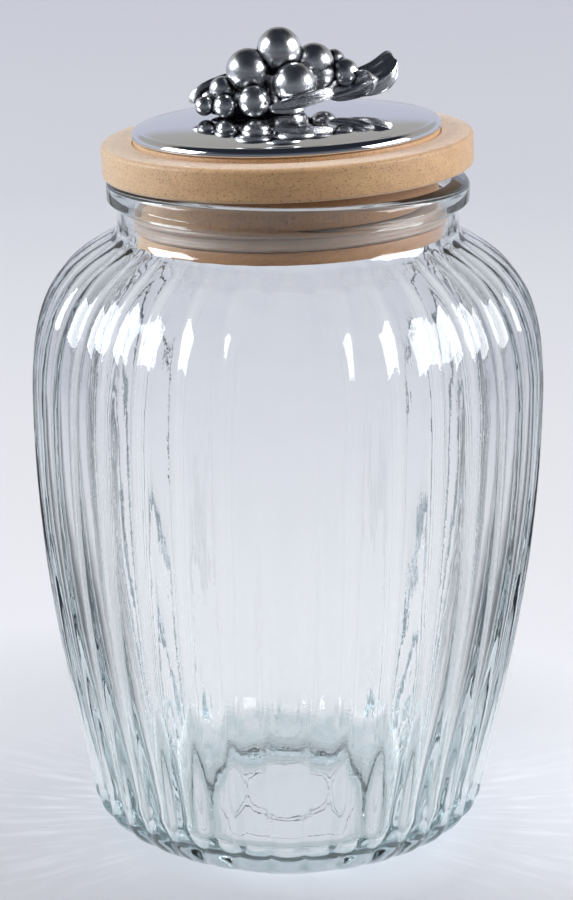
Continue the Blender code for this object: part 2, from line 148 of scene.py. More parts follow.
# Each leaf's spine from root through middle to tip, the direction across it, half widths there, how far
# its edges rise, and its veins; with a crease, also the crease's share of that rise, and where it lies
LEAVES = {
    "front_leaf": {
        "spine": ((-5.0, -12.0, 3.8), (5.5, -12.4, 5.6), (16.2, -6.5, 7.5)),
        "across": (-0.1, -0.4, 0.9),
        "half_widths": (0.9, 3.6, 2.2),
        "cup": 0.7,
        "veins": 6,
    },
    "right_lobe": {
        "spine": ((13.5, 2.0, 4.4), (23.0, 4.0, 6.8), (31.4, 0.6, 9.6)),
        "across": (-0.25, 0.18, 0.90),
        "half_widths": (3.0, 5.3, 4.0),
        "cup": 2.2,
        "veins": 4,
    },
    "right_tail": {
        "spine": ((13.0, 7.0, 8.6), (28.2, 6.2, 8.6), (38.4, 11.0, 14.6)),
        "across": (-0.25, 0.36, 0.90),
        "half_widths": (3.4, 6.2, 6.4),
        "cup": -2.2,
        "veins": 4,
        "crease": 0.75,
        "ridge": -0.40,
    },
    "left_leaf": {
        "spine": ((-8.0, 6.5, 9.5), (-22.0, 4.5, 7.8), (-31.2, 2.0, 4.2)),
        "across": (0.35, -0.3, 0.88),
        "half_widths": (3.0, 5.8, 2.8),
        "cup": 1.8,
        "veins": 3,
    },
}
GRAPE_DENT = 0.010
FIRST_GRAPE_SEED = 20
LEAF_THICKNESS = 2.0
LEAF_EDGE_SHARE = 0.55
LEAF_VEIN_DEPTH = 0.48
LEAF_RIM_HEIGHT = 0.45

# Tints that no setting holds
# The plug's wood is the plate's, darkened as painted shade, for it stands under the plate behind the glass
PLUG_SHADE = (0.475, 0.375, 0.265)
# Glass colour by how far its surface turns from view: greener and darker at the edge, partly thick glass's
# tint and partly painted shade
GLASS_FACE = (1.0, 1.0, 1.0)
GLASS_TURNED = (0.985, 0.99, 0.99)
GLASS_EDGE_TINT_AND_SHADE = (0.78, 0.89, 0.885)
CHILLED_GLASS = (0.36, 0.455, 0.465)
# Floor colours: a step in the middle distance, painted shade under the lamps against their pool of light,
# painted caustic light, and random mottle
FLOOR_MIDDLE = (0.712, 0.718, 0.760)
FLOOR_PAINTED_SHADE_BY_LAMPS = (0.26, 0.265, 0.285)
PAINTED_CAUSTIC_LIGHT = (0.88, 0.88, 0.90)
FLOOR_MOTTLE = (0.55, 0.55, 0.6)

# The floor's painted glow, which rays through the glass meet in place of most of its lit colour: near the
# jar, far off, under it, and painted shade under its ring
THROUGH_NEAR = (0.89, 0.88, 0.93)
THROUGH_FAR = (0.63, 0.64, 0.725)
THROUGH_UNDER = (0.70, 0.695, 0.75)
THROUGH_RING_SHADE = (0.43, 0.49, 0.51)

# The studio round the stage, each wall as stops of height and colour: what metal shows of its back and
# front, what glass shows of its back and sides, what the camera sees, and the fill for scattered light
METAL_BACK = (
    (0.0, (0.58, 0.605, 0.71)),
    (0.22, (0.54, 0.57, 0.68)),
    (0.30, (0.43, 0.43, 0.43)),
    (0.60, (0.38, 0.37, 0.35)),
    (0.70, (0.02, 0.024, 0.035)),
)
METAL_FRONT = (
    (0.0, (0.24, 0.25, 0.28)),
    (0.22, (0.14, 0.15, 0.175)),
    (0.45, (0.07, 0.08, 0.105)),
    (0.75, (0.02, 0.024, 0.035)),
)
GLASS_BACK = ((0.0, (0.74, 0.76, 0.82)), (0.5, (0.56, 0.58, 0.63)), (0.9, (0.50, 0.52, 0.55)))
GLASS_SIDES = ((0.0, (0.40, 0.41, 0.43)), (0.5, (0.38, 0.40, 0.42)), (0.9, (0.46, 0.48, 0.51)))
CAMERA_SKY = ((0.0, (0.345, 0.345, 0.385)), (0.4, (0.60, 0.615, 0.66)))
FILL_FRONT = (0.16, 0.115, 0.07)
FILL_BACK = (0.74, 0.75, 0.80)

# Softboxes: turn from the front in degrees, width in metres, share of the power, and colour
SOFTBOXES = {
    "softbox_left": (-88, 1.3, 1.0, (0.94, 1.0, 1.06)),
    "softbox_right": (82, 1.5, 1.04, (0.97, 1.0, 1.04)),
}
SOFTBOX_LIFT = math.radians(23)
SOFTBOX_DISTANCE = 2.2
SOFTBOX_HEIGHT = 1.1
SOFTBOX_TARGET = Vector((0.0, 0.0, 0.14))
FLOOR_CORNERS = ((-9, -7, 0), (9, -7, 0), (9, 11, 0), (-9, 11, 0))
CAMERA_PLACE = (-0.0005, -0.841, 0.397)
CAMERA_TURN = (math.radians(73.0), 0.0, 0.0)


def colour_setting(name, description, default):
    """A colour that a user can change."""
    return bpy.props.FloatVectorProperty(
        name=name, description=description, subtype="COLOR", size=3, default=default
    )


def length_setting(name, description, default):
    """A length in metres that a user can change, never quite nothing."""
    return bpy.props.FloatProperty(
        name=name, description=description, default=default, min=0.01 * MM, unit="LENGTH"
    )


def share_setting(name, description, default, least=0.0, most=1.0):
    """A share that a user can change between its least and its most."""
    return bpy.props.FloatProperty(
        name=name, description=description, default=default, min=least, max=most, subtype="FACTOR"
    )


class JarLook(bpy.types.PropertyGroup):
    """Panels, beads, ripples and tint of the glass jar"""

    panel_count: bpy.props.IntProperty(
        name="Panels", description="Number of convex panels round the jar", default=36, min=6, max=72
    )
    panel_depth: length_setting("Panel depth", "How deep the valleys between the panels are", 1.8 * MM)
    valley_round: share_setting(
        "Valley rounding", "How soft the valleys are, as a share of a panel", 0.08, 0.01, 0.4
    )
    inner_share: share_setting("Inner panels", "How deep the panels are inside, as a share of outside", 0.45)
    bead_height: length_setting("Foot beads", "Height of the small beads round the foot", 0.50 * MM)
    ripple: length_setting("Ripple", "Height of the waves that the mould leaves inside the glass", 0.08 * MM)
    tint: colour_setting("Tint", "Colour of thick glass", (0.60, 0.83, 0.87))
    tint_density: bpy.props.FloatProperty(
        name="Tint density",
        description="How fast thick glass takes its tint, per metre",
        default=14.0,
        min=0.0,
    )
    refraction: bpy.props.FloatProperty(
        name="Refraction", description="Index of refraction of the glass", default=1.52, min=1.0, max=2.0
    )


class WoodLook(bpy.types.PropertyGroup):
    """Tints and grain of the plate and the plug"""

    light: colour_setting("Early wood", "Pale wood", (0.77, 0.495, 0.245))
    dark: colour_setting("Late wood", "Darker streaks", (0.60, 0.35, 0.18))
    pore: colour_setting("Pores", "Colour in the pores", (0.34, 0.18, 0.095))
    blush: colour_setting("Blush", "Pinkish patches", (0.76, 0.43, 0.25))
    # Paler wood towards the left
    pale: colour_setting("Paler left", "Paler wood on the left", (0.80, 0.59, 0.36))
    grain_turn: bpy.props.FloatProperty(
        name="Grain turn",
        description="Angle of the grain from the jar's left-to-right line",
        default=math.radians(14),
        unit="ROTATION",
    )


class GasketLook(bpy.types.PropertyGroup):
    """Colour and lips of the silicone ring"""

    colour: colour_setting("Silicone", "Colour of the ring", (0.31, 0.23, 0.18))
    lip: length_setting("Lip", "How far the lips stand out", 1.0 * MM)


class MetalLook(bpy.types.PropertyGroup):
    """Metals of the disc, the knob and the fasteners"""

    disc: colour_setting("Disc", "Polished metal of the disc", (0.84, 0.84, 0.85))
    cast: colour_setting("Cast metal", "Bright metal of the knob", (0.82, 0.82, 0.83))
    patina: colour_setting("Patina", "Dark metal in the recesses", (0.03, 0.032, 0.04))
    recess: length_setting("Recess reach", "How far the patina reaches out of a gap", 2.4 * MM)
    steel: colour_setting("Steel", "Screw and washer", (0.55, 0.55, 0.57))


class StageLook(bpy.types.PropertyGroup):
    """Paleness of the floor, with its painted light and shade, and power of the lamps"""

    floor_light: colour_setting("Floor, pale", "Floor round the jar", (0.720, 0.715, 0.725))
    # Painted shade close to the jar, whose glass casts no shadow of its own
    floor_painted_shade: colour_setting("Floor, near", "Floor close to the jar", (0.455, 0.452, 0.475))
    # Paler far off and beyond the lamps: painted light against their falloff
    floor_far_painted_light: colour_setting("Floor, far", "Floor far off", (0.90, 0.915, 1.0))
    # Painted dark floor, which only reflections, rays through glass and bounced light meet
    floor_painted_dark: colour_setting(
        "Floor, unlit", "Dark floor that only metal, glass and bounced light meet", (0.12, 0.13, 0.15)
    )
    lamp_power: bpy.props.FloatProperty(
        name="Softboxes",
        description="Power in watts of each softbox beside the jar",
        default=41.0,
        min=0.0,
        unit="POWER",
    )


# Curves and meshes


def bezier(start, first_handle, second_handle, end, steps):
    """Points along a cubic curve in the plane, without its start."""
    t = np.linspace(0.0, 1.0, steps + 1)[1:, None]
    corners = [np.array(corner, float) for corner in (start, first_handle, second_handle, end)]
    shares = ((1 - t) ** 3, 3 * t * (1 - t) ** 2, 3 * t * t * (1 - t), t**3)
    return [tuple(point) for point in sum(share * corner for share, corner in zip(shares, corners))]


def quarter_round(start, corner, end, steps=6):
    """Points along a quarter ellipse that rounds the corner between start and end, both included."""
    start, corner, end = (np.array(point, float) for point in (start, corner, end))
    turn = np.linspace(0.0, math.pi / 2, steps + 1)[:, None]
    points = corner + (start - corner) * (1 - np.sin(turn)) + (end - corner) * (1 - np.cos(turn))
    return [tuple(point) for point in points]


def rounded(profile, radius, steps=3):
    """The closed profile with each corner rounded by the radius, or less where its edges are short."""
    points = [np.array(point, float) for point in profile]
    result = []
    for before, corner, after in zip(points[-1:] + points[:-1], points, points[1:] + points[:1]):
        reach = min(radius, np.linalg.norm(before - corner) / 2.2, np.linalg.norm(after - corner) / 2.2)
        start = corner + (before - corner) / np.linalg.norm(before - corner) * reach
        end = corner + (after - corner) / np.linalg.norm(after - corner) * reach
        result += quarter_round(start, corner, end, steps)
    return result


def blend_corner(profile, corner, reach, steps=8):
    """The open profile with the sharp turn at one of its points blended over the reach on both sides."""
    points, corner = [np.array(point, float) for point in profile], np.array(corner, float)
    at = min(range(len(points)), key=lambda index: np.linalg.norm(points[index] - corner))
    before = [point for point in points[:at] if np.linalg.norm(point - corner) > reach]
    after = [point for point in points[at + 1 :] if np.linalg.norm(point - corner) > reach]
    start = corner + (before[-1] - corner) / np.linalg.norm(before[-1] - corner) * reach
    end = corner + (after[0] - corner) / np.linalg.norm(after[0] - corner) * reach
    pull = 0.58
    turn = bezier(start, start + (corner - start) * pull, end + (corner - end) * pull, end, steps)
    return [tuple(point) for point in before] + [tuple(start)] + turn + [tuple(point) for point in after]


def grid_mesh(points, closed=False, poles=()):
    """A mesh through rows of points, each row a loop. It closes on itself, or on a pole at each end."""
    rows, columns = points.shape[:2]
    index = np.arange(rows * columns).reshape(rows, columns)
    if closed:
        index = np.concatenate([index, index[:1]])
    index = np.concatenate([index, index[:, :1]], axis=1)
    quads = np.stack([index[:-1, :-1], index[:-1, 1:], index[1:, 1:], index[1:, :-1]], axis=-1)
    faces = quads.reshape(-1, 4).tolist()
    corners = points.reshape(-1, 3).tolist()
    for pole, row in zip(poles, (index[0], index[-1])):
        faces += [(len(corners), int(a), int(b)) for a, b in zip(row[:-1], row[1:])]
        corners.append(tuple(pole))
    mesh = bpy.data.meshes.new("shape")
    mesh.from_pydata(corners, [], faces)
    bm = bmesh.new()
    bm.from_mesh(mesh)
    bmesh.ops.recalc_face_normals(bm, faces=bm.faces)
    bm.to_mesh(mesh)
    bm.free()
    return mesh


def turned_points(profile, columns):
    """Rows of points for a profile of (radius, height) turned round the upright axis."""
    profile = np.array(profile, float)
    angles = np.linspace(0.0, 2 * math.pi, columns, endpoint=False)
    radii, heights = profile[:, :1], profile[:, 1:]
    return np.stack([radii * np.cos(angles), radii * np.sin(angles), heights + 0.0 * angles], axis=-1)


def turned_ring(profile, columns=192):
    """A closed ring turned from a closed profile."""
    return grid_mesh(turned_points(profile, columns), closed=True)


def piece(name, mesh, material, body, node, sharp=35.0):
    """The mesh as a piece that rides on a body, in place of a frame node."""
    mesh.name = name
    mesh.materials.append(material)
    mesh.shade_smooth()
    mesh.set_sharp_from_angle(angle=math.radians(sharp))
    obj = bpy.data.objects.new(name, mesh)
    bpy.context.scene.collection.objects.link(obj)
    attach(obj, body)
    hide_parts(node)
    return obj


def lid_piece(name, mesh, material, node, body="lid"):
    """A piece of the lid: its mesh, built level, is lifted and tipped into the neck."""
    mesh.transform(Matrix.Translation((0.0, 0.0, LID_HEIGHT)) @ Matrix.Rotation(-LID_TILT, 4, "Y"))
    return piece(name, mesh, material, body, node)


def ripple(angles, heights, seed, waves, turns, lengths):
    """Smooth random waves over angle and height, between about -1 and 1."""
    random = np.random.default_rng(seed)
    total = np.zeros(np.broadcast(angles, heights).shape)
    for _ in range(waves):
        around = random.integers(turns[0], turns[1] + 1)
        length = random.uniform(*lengths)
        phase = random.uniform(0, 2 * math.pi)
        side = random.choice((-1, 1))
        total += np.sin(around * angles + side * 2 * math.pi * heights / length + phase)
    return total / math.sqrt(waves)


# Materials


def scaled(colour, share):
    """The colour with each of its parts times the share."""
    return tuple(share * part for part in colour)


class Nodes:
    """Short calls that add nodes to a tree. A value that is a socket is linked."""

    def __init__(self, tree):
        self.tree = tree

    def put(self, socket, value):
        if isinstance(value, bpy.types.NodeSocket):
            self.tree.links.new(value, socket)
        elif isinstance(value, (tuple, list)) and socket.type == "RGBA" and len(value) == 3:
            socket.default_value = (*value, 1.0)
        else:
            socket.default_value = value

    def node(self, kind, inputs=None, **settings):
        node = self.tree.nodes.new("ShaderNode" + kind)
        for name, value in settings.items():
            setattr(node, name, value)
        for key, value in (inputs or {}).items():
            self.put(node.inputs[key], value)
        return node

    def ramp(self, value, *stops):
        node = self.node("ValToRGB", {"Fac": value})
        elements = node.color_ramp.elements
        while len(elements) < len(stops):
            elements.new(0.5)
        for element, (position, colour) in zip(elements, stops):
            element.position = position
            element.color = (*colour, 1.0)
        return node.outputs["Color"]

    def mix(self, factor, first, second):
        """The first colour at a factor of 0, and the second at 1. A Mix node has its colours at 6 and 7."""
        node = self.node("Mix", {0: factor, 6: first, 7: second}, data_type="RGBA", blend_type="MIX")
        return node.outputs[2]

    def math(self, operation, first, second=0.0):
        return self.node("Math", {0: first, 1: second}, operation=operation).outputs["Value"]

    def product(self, *values):
        result = values[0]
        for value in values[1:]:
            result = self.math("MULTIPLY", result, value)
        return result

    def total(self, *values):
        result = values[0]
        for value in values[1:]:
            result = self.math("ADD", result, value)
        return result

    def span(self, value, low, high, to_low=0.0, to_high=1.0):
        """The value's place between low and high, held within them, as a number from to_low to to_high."""
        inputs = {"Value": value, "From Min": low, "From Max": high, "To Min": to_low, "To Max": to_high}
        return self.node("MapRange", inputs).outputs["Result"]


class Finish(Nodes):
    """A material, with further calls for places on the object, noise, bump and the shader's own values."""

    def __init__(self, name):
        self.material = bpy.data.materials.new(name)
        self.material.use_nodes = True
        super().__init__(self.material.node_tree)
        self.shader = self.tree.nodes["Principled BSDF"]
        self.output = self.tree.nodes["Material Output"]

    def place(self, scale=(1, 1, 1), turn=(0, 0, 0), move=(0, 0, 0)):
        """Places on the object in metres, moved, turned and scaled."""
        coordinates = self.node("TexCoord").outputs["Object"]
        inputs = {"Vector": coordinates, "Location": move, "Rotation": turn, "Scale": scale}
        return self.node("Mapping", inputs).outputs["Vector"]

    def noise(self, vector, scale, detail=3.0, roughness=0.5):
        inputs = {"Vector": vector, "Scale": scale, "Detail": detail, "Roughness": roughness}
        return self.node("TexNoise", inputs).outputs["Fac"]

    def bump(self, height, distance, strength=1.0):
        inputs = {"Height": height, "Distance": distance, "Strength": strength}
        return self.node("Bump", inputs).outputs["Normal"]

    def surface(self, **values):
        for name, value in values.items():
            self.put(self.shader.inputs[name.replace("_", " ")], value)
        return self.material


def glass_finish(look):
    """Clear pressed glass, rippled in the valleys and a little milky at the heel, chilled by the mould;
    greener and darker at its edges, partly thick glass's tint and partly painted shade.
    """
    finish = Finish("pressed_glass")
    facing = finish.node("LayerWeight", {"Blend": 0.35}).outputs["Facing"]
    # Greener and darker where the surface turns from view: thick glass's tint and painted shade for the dark
    # edges
    edge = finish.ramp(facing, (0.0, GLASS_FACE), (0.8, GLASS_TURNED), (1.0, GLASS_EDGE_TINT_AND_SHADE))
    chilled = finish.node("Attribute", attribute_name="heel").outputs["Fac"]
    cloud = finish.noise(finish.place(), 140.0, 4.0)
    heel = finish.product(chilled, finish.span(cloud, 0.35, 0.65, 0.35, 1.0))

    valley = finish.node("Attribute", attribute_name="valley").outputs["Fac"]
    long_waves = finish.noise(finish.place((1, 1, 0.35)), 55.0, 2.0)
    fine_waves = finish.noise(finish.place((1, 1, 1.3)), 640.0, 2.0)
    fine_share = finish.span(valley, 0.0, 1.0, 0.06, 0.60)
    drawn = finish.noise(finish.place((1, 1, 0.06)), 420.0, 2.0)
    height = finish.total(long_waves, finish.product(fine_waves, fine_share), finish.product(drawn, 0.35))
    smear = finish.noise(finish.place((1, 1, 0.5)), 30.0, 4.0)
    finish.surface(
        Base_Color=finish.mix(heel, edge, CHILLED_GLASS),
        Roughness=finish.total(finish.span(smear, 0.35, 0.75, 0.0, 0.03), finish.product(heel, 0.08)),
        IOR=look.refraction,
        Transmission_Weight=finish.span(heel, 0.0, 1.0, 1.0, 0.72),
        Normal=finish.bump(height, 0.15 * MM, 0.5),
    )
    absorption = finish.node("VolumeAbsorption", {"Color": tuple(look.tint), "Density": look.tint_density})
    finish.put(finish.output.inputs["Volume"], absorption.outputs["Volume"])
    return finish.material


def wood_finish(look, name="pale_beech", shift=0.0, shade=(1.0, 1.0, 1.0)):
    """Pale wood with its grain from left to right, growth rings, fibres and pores, paler on the left, and
    darkened by the shade tint as painted shade.
    """
    finish = Finish(name)
    turn = (0.0, 0.0, -look.grain_turn)
    wander = finish.noise(finish.place((14, 40, 40), turn, (shift, 0, 0)), 1.0, 2.0)
    rings_place = finish.place((1.0, 1.0, 1.0), turn, (0.0, 0.18 + shift, 0.09))
    rings = finish.node(
        "TexWave",
        {"Vector": rings_place, "Scale": 38.0, "Distortion": 7.0, "Detail": 2.0, "Detail Scale": 0.8},
        wave_type="RINGS",
        rings_direction="X",
        wave_profile="SIN",
    ).outputs["Fac"]
    streaks = finish.noise(finish.place((18, 260, 260), turn, (shift, 0, 0)), 1.0, 4.0, 0.6)
    fibres = finish.noise(finish.place((90, 2100, 2100), turn), 1.0, 3.0, 0.6)
    pores = finish.noise(finish.place((1350, 2200, 2200), turn, (0, 0, shift)), 1.0, 1.0, 0.4)
    pore_share = finish.span(pores, 0.60, 0.68)
    flecks = finish.noise(finish.place((900, 1100, 1900), turn), 1.0, 2.0, 0.5)
    fleck_share = finish.span(flecks, 0.58, 0.68, 0.0, 0.5)
    tone = finish.total(
        finish.product(rings, 0.14), finish.product(streaks, 0.85), finish.product(wander, 0.40)
    )
    tints = (look.light, look.dark, look.pore, look.blush, look.pale)
    light, dark, pore, pink, pale = (tuple(s * part for s, part in zip(shade, tint)) for tint in tints)
    # The paler wood on the left takes only part of the painted shade
    pale = tuple(part / s**0.7 for s, part in zip(shade, pale))
    colour = finish.ramp(tone, (0.42, light), (0.98, dark))
    blush = finish.noise(finish.place((22, 22, 60), turn, (0, shift, 0)), 1.0, 2.0)
    colour = finish.mix(finish.span(blush, 0.45, 0.7, 0.0, 0.3), colour, pink)
    aside = finish.node("SeparateXYZ", {"Vector": finish.place()}).outputs["X"]
    colour = finish.mix(finish.span(aside, -0.030, -0.058, 0.0, 0.7), colour, pale)
    colour = finish.mix(finish.span(fibres, 0.3, 0.7, 0.0, 0.25), colour, scaled(dark, 0.7))
    colour = finish.mix(fleck_share, colour, scaled(dark, 0.62))
    colour = finish.mix(finish.product(pore_share, 0.8), colour, pore)
    height = finish.math("SUBTRACT", finish.product(fibres, 0.5), pore_share)
    return finish.surface(
        Base_Color=colour,
        Roughness=finish.span(streaks, 0.3, 0.7, 0.40, 0.54),
        Specular_IOR_Level=0.5,
        Sheen_Weight=0.6,
        Sheen_Roughness=0.35,
        Normal=finish.bump(height, 0.08 * MM, 0.6),
    )


def silicone_finish(look):
    """Frosted silicone, cloudy and a little translucent."""
    finish = Finish("frosted_silicone")
    cloud = finish.noise(finish.place(), 160.0, 4.0)
    grain = finish.noise(finish.place(), 2600.0, 2.0)
    colour = finish.mix(finish.span(cloud, 0.3, 0.7), scaled(look.colour, 0.9), tuple(look.colour))
    return finish.surface(
        Base_Color=colour,
        Roughness=finish.span(cloud, 0.3, 0.7, 0.28, 0.42),
        Subsurface_Weight=0.3,
        Subsurface_Scale=2.0 * MM,
        Normal=finish.bump(grain, 0.02 * MM, 0.4),
    )


def polished_finish(look):
    """Mirror-polished metal with a trace of wiping marks."""
    finish = Finish("polished_disc_metal")
    wipe = finish.noise(finish.place((30, 1400, 1400), (0, 0, 0.6)), 1.0, 3.0, 0.6)
    haze = finish.noise(finish.place(), 45.0, 3.0)
    colour = finish.mix(finish.span(haze, 0.3, 0.7), scaled(look.disc, 0.96), tuple(look.disc))
    return finish.surface(
        Base_Color=colour,
        Metallic=1.0,
        Roughness=finish.span(wipe, 0.4, 0.8, 0.03, 0.09),
        Normal=finish.bump(wipe, 0.002 * MM, 0.4),
    )


def cast_finish(look):
    """Polished cast metal with small dents, dark patina in its gaps and wear on what stands proud."""
    finish = Finish("antiqued_cast_metal")
    recess = finish.node("Attribute", attribute_name="recess").outputs["Fac"]
    dents = finish.noise(finish.place(), 240.0, 3.0, 0.55)
    pits = finish.noise(finish.place(), 1500.0, 3.0, 0.6)
    stain = finish.noise(finish.place(), 420.0, 4.0, 0.65)
    shade = finish.total(recess, finish.span(stain, 0.35, 0.65, -0.25, 0.25))
    shade = finish.span(shade, 0.35, 0.9)
    worn = finish.noise(finish.place(), 170.0, 5.0, 0.6)
    bright = finish.mix(finish.span(worn, 0.46, 0.56), scaled(look.cast, 0.80), tuple(look.cast))
    height = finish.total(dents, finish.product(pits, 0.10))
    return finish.surface(
        Base_Color=finish.mix(shade, bright, tuple(look.patina)),
        Metallic=1.0,
        Roughness=finish.span(shade, 0.0, 1.0, 0.27, 0.48),
        Normal=finish.bump(height, 0.35 * MM, 0.7),
    )


def steel_finish(look):
    """Turned steel with fine lines round it."""
    finish = Finish("turned_steel")
    lines = finish.noise(finish.place((1, 1, 9)), 900.0, 3.0)
    return finish.surface(
        Base_Color=finish.mix(lines, scaled(look.steel, 0.8), tuple(look.steel)),
        Metallic=1.0,
        Roughness=finish.span(lines, 0.3, 0.7, 0.24, 0.40),
        Normal=finish.bump(lines, 0.01 * MM, 0.5),
    )


# Jar


def side_curve(heel_radius, heel_height, belly_radius, top_radius, top_height, steps):
    """The wall's curve from the heel up to the belly, and over the shoulder to the neck."""
    rise = BELLY_HEIGHT - heel_height
    gain = belly_radius - heel_radius
    wall = bezier(
        (heel_radius, heel_height),
        (heel_radius + 0.38 * gain, heel_height + 0.27 * rise),
        (belly_radius, heel_height + 0.55 * rise),
        (belly_radius, BELLY_HEIGHT),
        steps,
    )
    rise = top_height - BELLY_HEIGHT
    drop = belly_radius - top_radius
    shoulder = bezier(
        (belly_radius, BELLY_HEIGHT),
        (belly_radius, BELLY_HEIGHT + 0.77 * rise),
        (belly_radius - 0.55 * drop, BELLY_HEIGHT + 0.856 * rise),
        (top_radius, top_height),
        steps,
    )
    return wall + shoulder


def jar_outside():
    """The outer profile, from near the axis under the jar up to the edge of the mouth."""
    spread = HEEL_RADIUS - RING_RADIUS
    under = bezier(
        (0.0, PUSH_UP), (0.45 * RING_INSIDE, PUSH_UP), (0.93 * RING_INSIDE, PUSH_UP), (RING_INSIDE, 0.0), 14
    )
    foot = [(RING_RADIUS - 2.5 * MM, 0.0), (RING_RADIUS - 0.5 * MM, 0.0)]
    foot += [(RING_RADIUS - 0.1 * MM, 0.25 * RING_STEP)]
    foot += [(RING_RADIUS, share * RING_STEP) for share in (0.5, 0.75, 1.0)]
    heel = bezier(
        (RING_RADIUS + 0.9 * MM, 1.15 * RING_STEP),
        (RING_RADIUS + 0.45 * spread, 0.30 * HEEL_HEIGHT),
        (RING_RADIUS + 0.94 * spread, 0.58 * HEEL_HEIGHT),
        (HEEL_RADIUS, HEEL_HEIGHT),
        18,
    )
    side = side_curve(HEEL_RADIUS, HEEL_HEIGHT, BELLY_RADIUS, NECK_RADIUS, NECK_FOOT, 40)
    bead = bezier(
        (NECK_RADIUS, RIM_FOOT),
        (NECK_RADIUS, RIM_FOOT + 1.6 * MM),
        (RIM_RADIUS, RIM_FOOT + 0.2 * MM),
        (RIM_RADIUS, RIM_FOOT + 2.8 * MM),
        14,
    )
    edge, top = (RIM_RADIUS, JAR_HEIGHT), (RIM_RADIUS - RIM_ROUND, JAR_HEIGHT)
    crown = quarter_round((RIM_RADIUS, JAR_HEIGHT - RIM_ROUND), edge, top)[1:]
    wall = blend_corner(side + [(NECK_RADIUS, RIM_FOOT)], (NECK_RADIUS, NECK_FOOT), 3.2 * MM)
    return under + foot + heel + wall + bead + crown


def jar_inside(look):
    """The inner profile, from the edge of the mouth down to near the axis on the ringed floor."""
    lip = 0.5 * RIM_ROUND
    edge = (BORE_RADIUS, JAR_HEIGHT)
    mouth = quarter_round((BORE_RADIUS + lip, JAR_HEIGHT), edge, (BORE_RADIUS, JAR_HEIGHT - lip), 5)
    step = INNER_STEP - 0.3 * look.inner_share * look.panel_depth
    corner = HEEL_RADIUS - step - FLOOR_RADIUS
    wall_foot = (HEEL_RADIUS - step, FLOOR_HEIGHT + HEEL_HEIGHT)
    low = bezier(
        (FLOOR_RADIUS, FLOOR_HEIGHT),
        (FLOOR_RADIUS + 0.6 * corner, FLOOR_HEIGHT),
        (HEEL_RADIUS - step, FLOOR_HEIGHT + 0.35 * HEEL_HEIGHT),
        wall_foot,
        14,
    )
    side = side_curve(*wall_foot, BELLY_RADIUS - step, BORE_RADIUS, BORE_FOOT, 36)
    bore = [(BORE_RADIUS, height) for height in np.linspace(BORE_FOOT, JAR_HEIGHT - lip, 8)[1:-1]]
    wall = blend_corner(low + side + bore, (BORE_RADIUS, BORE_FOOT), 3.8 * MM)
    floor = [(radius * MM, FLOOR_HEIGHT) for radius in (46.0, 42.0, 38.0)]
    for ring, ripples in MOULD_RINGS:
        sunk = FLOOR_HEIGHT - ripples * look.ripple
        floor += [((ring + 0.3) * MM, FLOOR_HEIGHT), ((ring + 0.2) * MM, sunk)]
        floor += [((ring - 0.2) * MM, sunk), ((ring - 0.3) * MM, FLOOR_HEIGHT)]
        floor += [((ring - 1.6) * MM, FLOOR_HEIGHT)]
    floor += [(radius * MM, FLOOR_HEIGHT) for radius in (15.0, 10.0, 5.0, 1.5)]
    return mouth + wall[::-1] + floor


def panel_share(heights):
    """How deep the panels are: nothing at the ring and the neck, all of it between."""
    share = np.clip(np.minimum(heights / HEEL_HEIGHT, (NECK_FOOT - heights) / (7.0 * MM)), 0.0, 1.0)
    return share * share * (3 - 2 * share)


def outer_sink(look, angles, heights, share, from_valley):
    """How far the outer wall lies inside its profile: panels with soft valleys, and the mould's dimples."""
    soft = look.valley_round
    panel = ((1 - from_valley) ** 2 - 2 * soft * np.exp(-from_valley / soft)) / (1 - 2 * soft)
    dimples = ripple(angles, heights, seed=3, waves=16, turns=(4, 60), lengths=(0.006, 0.05))
    dimple = 1 + np.clip(dimples, -1, 1)
    return share * (look.panel_depth * panel + DIMPLE_DEPTH * dimple)


def inner_sink(look, angles, heights, share, from_valley):
    """How far the inner wall lies inside its profile: softer panels, deeper low down, and drawn waves."""
    panel = 0.5 + 0.5 * np.cos(math.pi * from_valley)
    low_share = 1 + 0.7 * np.clip(1 - (heights - 25 * MM) / (45 * MM), 0, 1)
    sink = share * look.inner_share * low_share * look.panel_depth * panel
    rest = share * np.clip((heights - 20 * MM) / (20 * MM), 0.15, 1.0)
    waves = ripple(angles, heights, seed=11, waves=26, turns=(0, 22), lengths=(0.004, 0.016))
    swell = ripple(angles, heights, seed=5, waves=12, turns=(2, 20), lengths=(0.06, 0.30))
    return sink + look.ripple * rest * (0.35 * waves + 0.8 * swell)


